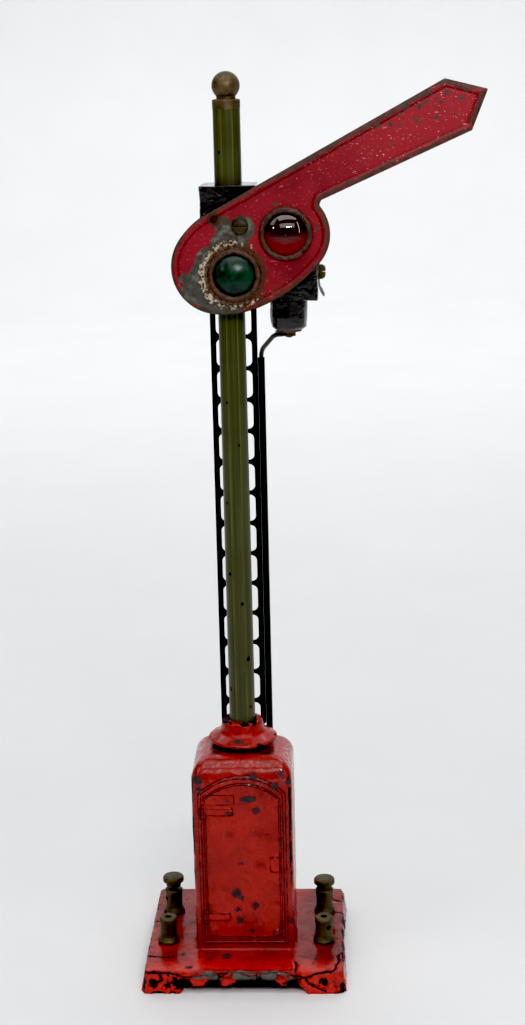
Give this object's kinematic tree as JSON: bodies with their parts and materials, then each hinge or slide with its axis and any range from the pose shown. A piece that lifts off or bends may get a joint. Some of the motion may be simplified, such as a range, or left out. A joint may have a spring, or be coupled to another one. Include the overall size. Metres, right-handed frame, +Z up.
{
  "type": "model signal mast",
  "caption": "Toy railway semaphore: cast base with coil tower, tall mast with ladder, lamp house and a pivoting arm with red and green lenses.",
  "frame": {"origin": "the mast's axis where it meets the floor that the four feet stand on", "axes": "+Z up the mast, -Y the way the arm and the door face, +X the way the blade points"},
  "size_m": [0.1476, 0.0824, 0.3836],
  "materials": {
    "red_enamel": "gloss enamel on die casting, chipped to dark metal",
    "mast_paint": "olive green gloss paint, small chips",
    "arm_paint": "crimson gloss field with a worn bare rim",
    "black_paint": "black gloss paint, rubbed at the edges",
    "ladder_paint": "black paint on sheet steel",
    "old_brass": "dull, tarnished",
    "bezel_metal": "browned, crusted",
    "bright_steel": "dull plated steel",
    "cover_sheet": "black sheet steel",
    "red_glass": "clear red moulding, domed",
    "green_glass": "dark green moulding, domed, clouded",
    "lamp_glass": "clear",
    "copper_wire": "enamelled copper winding",
    "board": "brown fibre board",
    "braid": "woven cotton braid, dark brown"
  },
  "bodies": {
    "mast": {"base_casting": "red_enamel", "bottom_cover": "cover_sheet", "cover_screws": "bright_steel", "mast_collar": "red_enamel", "mast_tube": "mast_paint", "mast_nut": "bright_steel", "finial": "old_brass", "post_front_left": "old_brass", "post_front_right": "old_brass", "post_rear_left": "old_brass", "post_rear_right": "old_brass", "post_washers": "bright_steel", "post_nuts": "bright_steel", "coil_bobbin": "board", "coil_winding": "copper_wire", "coil_frame": "bright_steel", "frame_screws": "bright_steel", "head_bracket": "black_paint", "bracket_set_screw": "bright_steel", "pivot_screw": "bright_steel", "lamp_house": "black_paint", "lamp_house_rivets": "bright_steel", "lamp_socket": "black_paint", "socket_insulator": "board", "solder_tag": "bright_steel", "centre_contact": "old_brass", "contact_nut": "old_brass", "bulb_base": "old_brass", "bulb_glass": "lamp_glass", "side_screw": "old_brass", "earth_tag": "bright_steel", "ladder": "ladder_paint", "ladder_screw": "bright_steel", "conduit": "ladder_paint", "lamp_lead": "braid", "coil_lead_left": "braid", "coil_lead_right": "braid", "earth_lead": "braid"},
    "arm": {"arm_plate": "arm_paint", "red_bezel": "bezel_metal", "green_bezel": "bezel_metal", "red_lens": "red_glass", "green_lens": "green_glass", "crank_pin": "old_brass", "pivot_bush": "old_brass"},
    "rod": {"plunger": "bright_steel", "operating_rod": "bright_steel", "rod_yoke": "bright_steel"},
    "thumb_left": {"thumb_screw_left": "old_brass"},
    "thumb_right": {"thumb_screw_right": "old_brass"}
  },
  "joints": [
    {"name": "arm_pivot", "type": "hinge", "parent": "mast", "child": "arm", "pos_m": [0.0051, 0, 0.3234], "axis": [0, -1, 0], "range_deg": [-25.9, 62]},
    {"name": "rod_slide", "type": "slide", "parent": "mast", "child": "rod", "axis": [0, 0, 1], "range_m": [-0.01095, 0.0046]},
    {"name": "thumb_left_run", "type": "slide", "parent": "mast", "child": "thumb_left", "axis": [0, 0, 1], "range_m": [-0.0012, 0.001]},
    {"name": "thumb_right_run", "type": "slide", "parent": "mast", "child": "thumb_right", "axis": [0, 0, 1], "range_m": [0, 0.0022]}
  ],
  "couplings": [
    {"joint": "rod_slide", "follows": "arm_pivot", "m_per_rad": -0.0101}
  ]
}
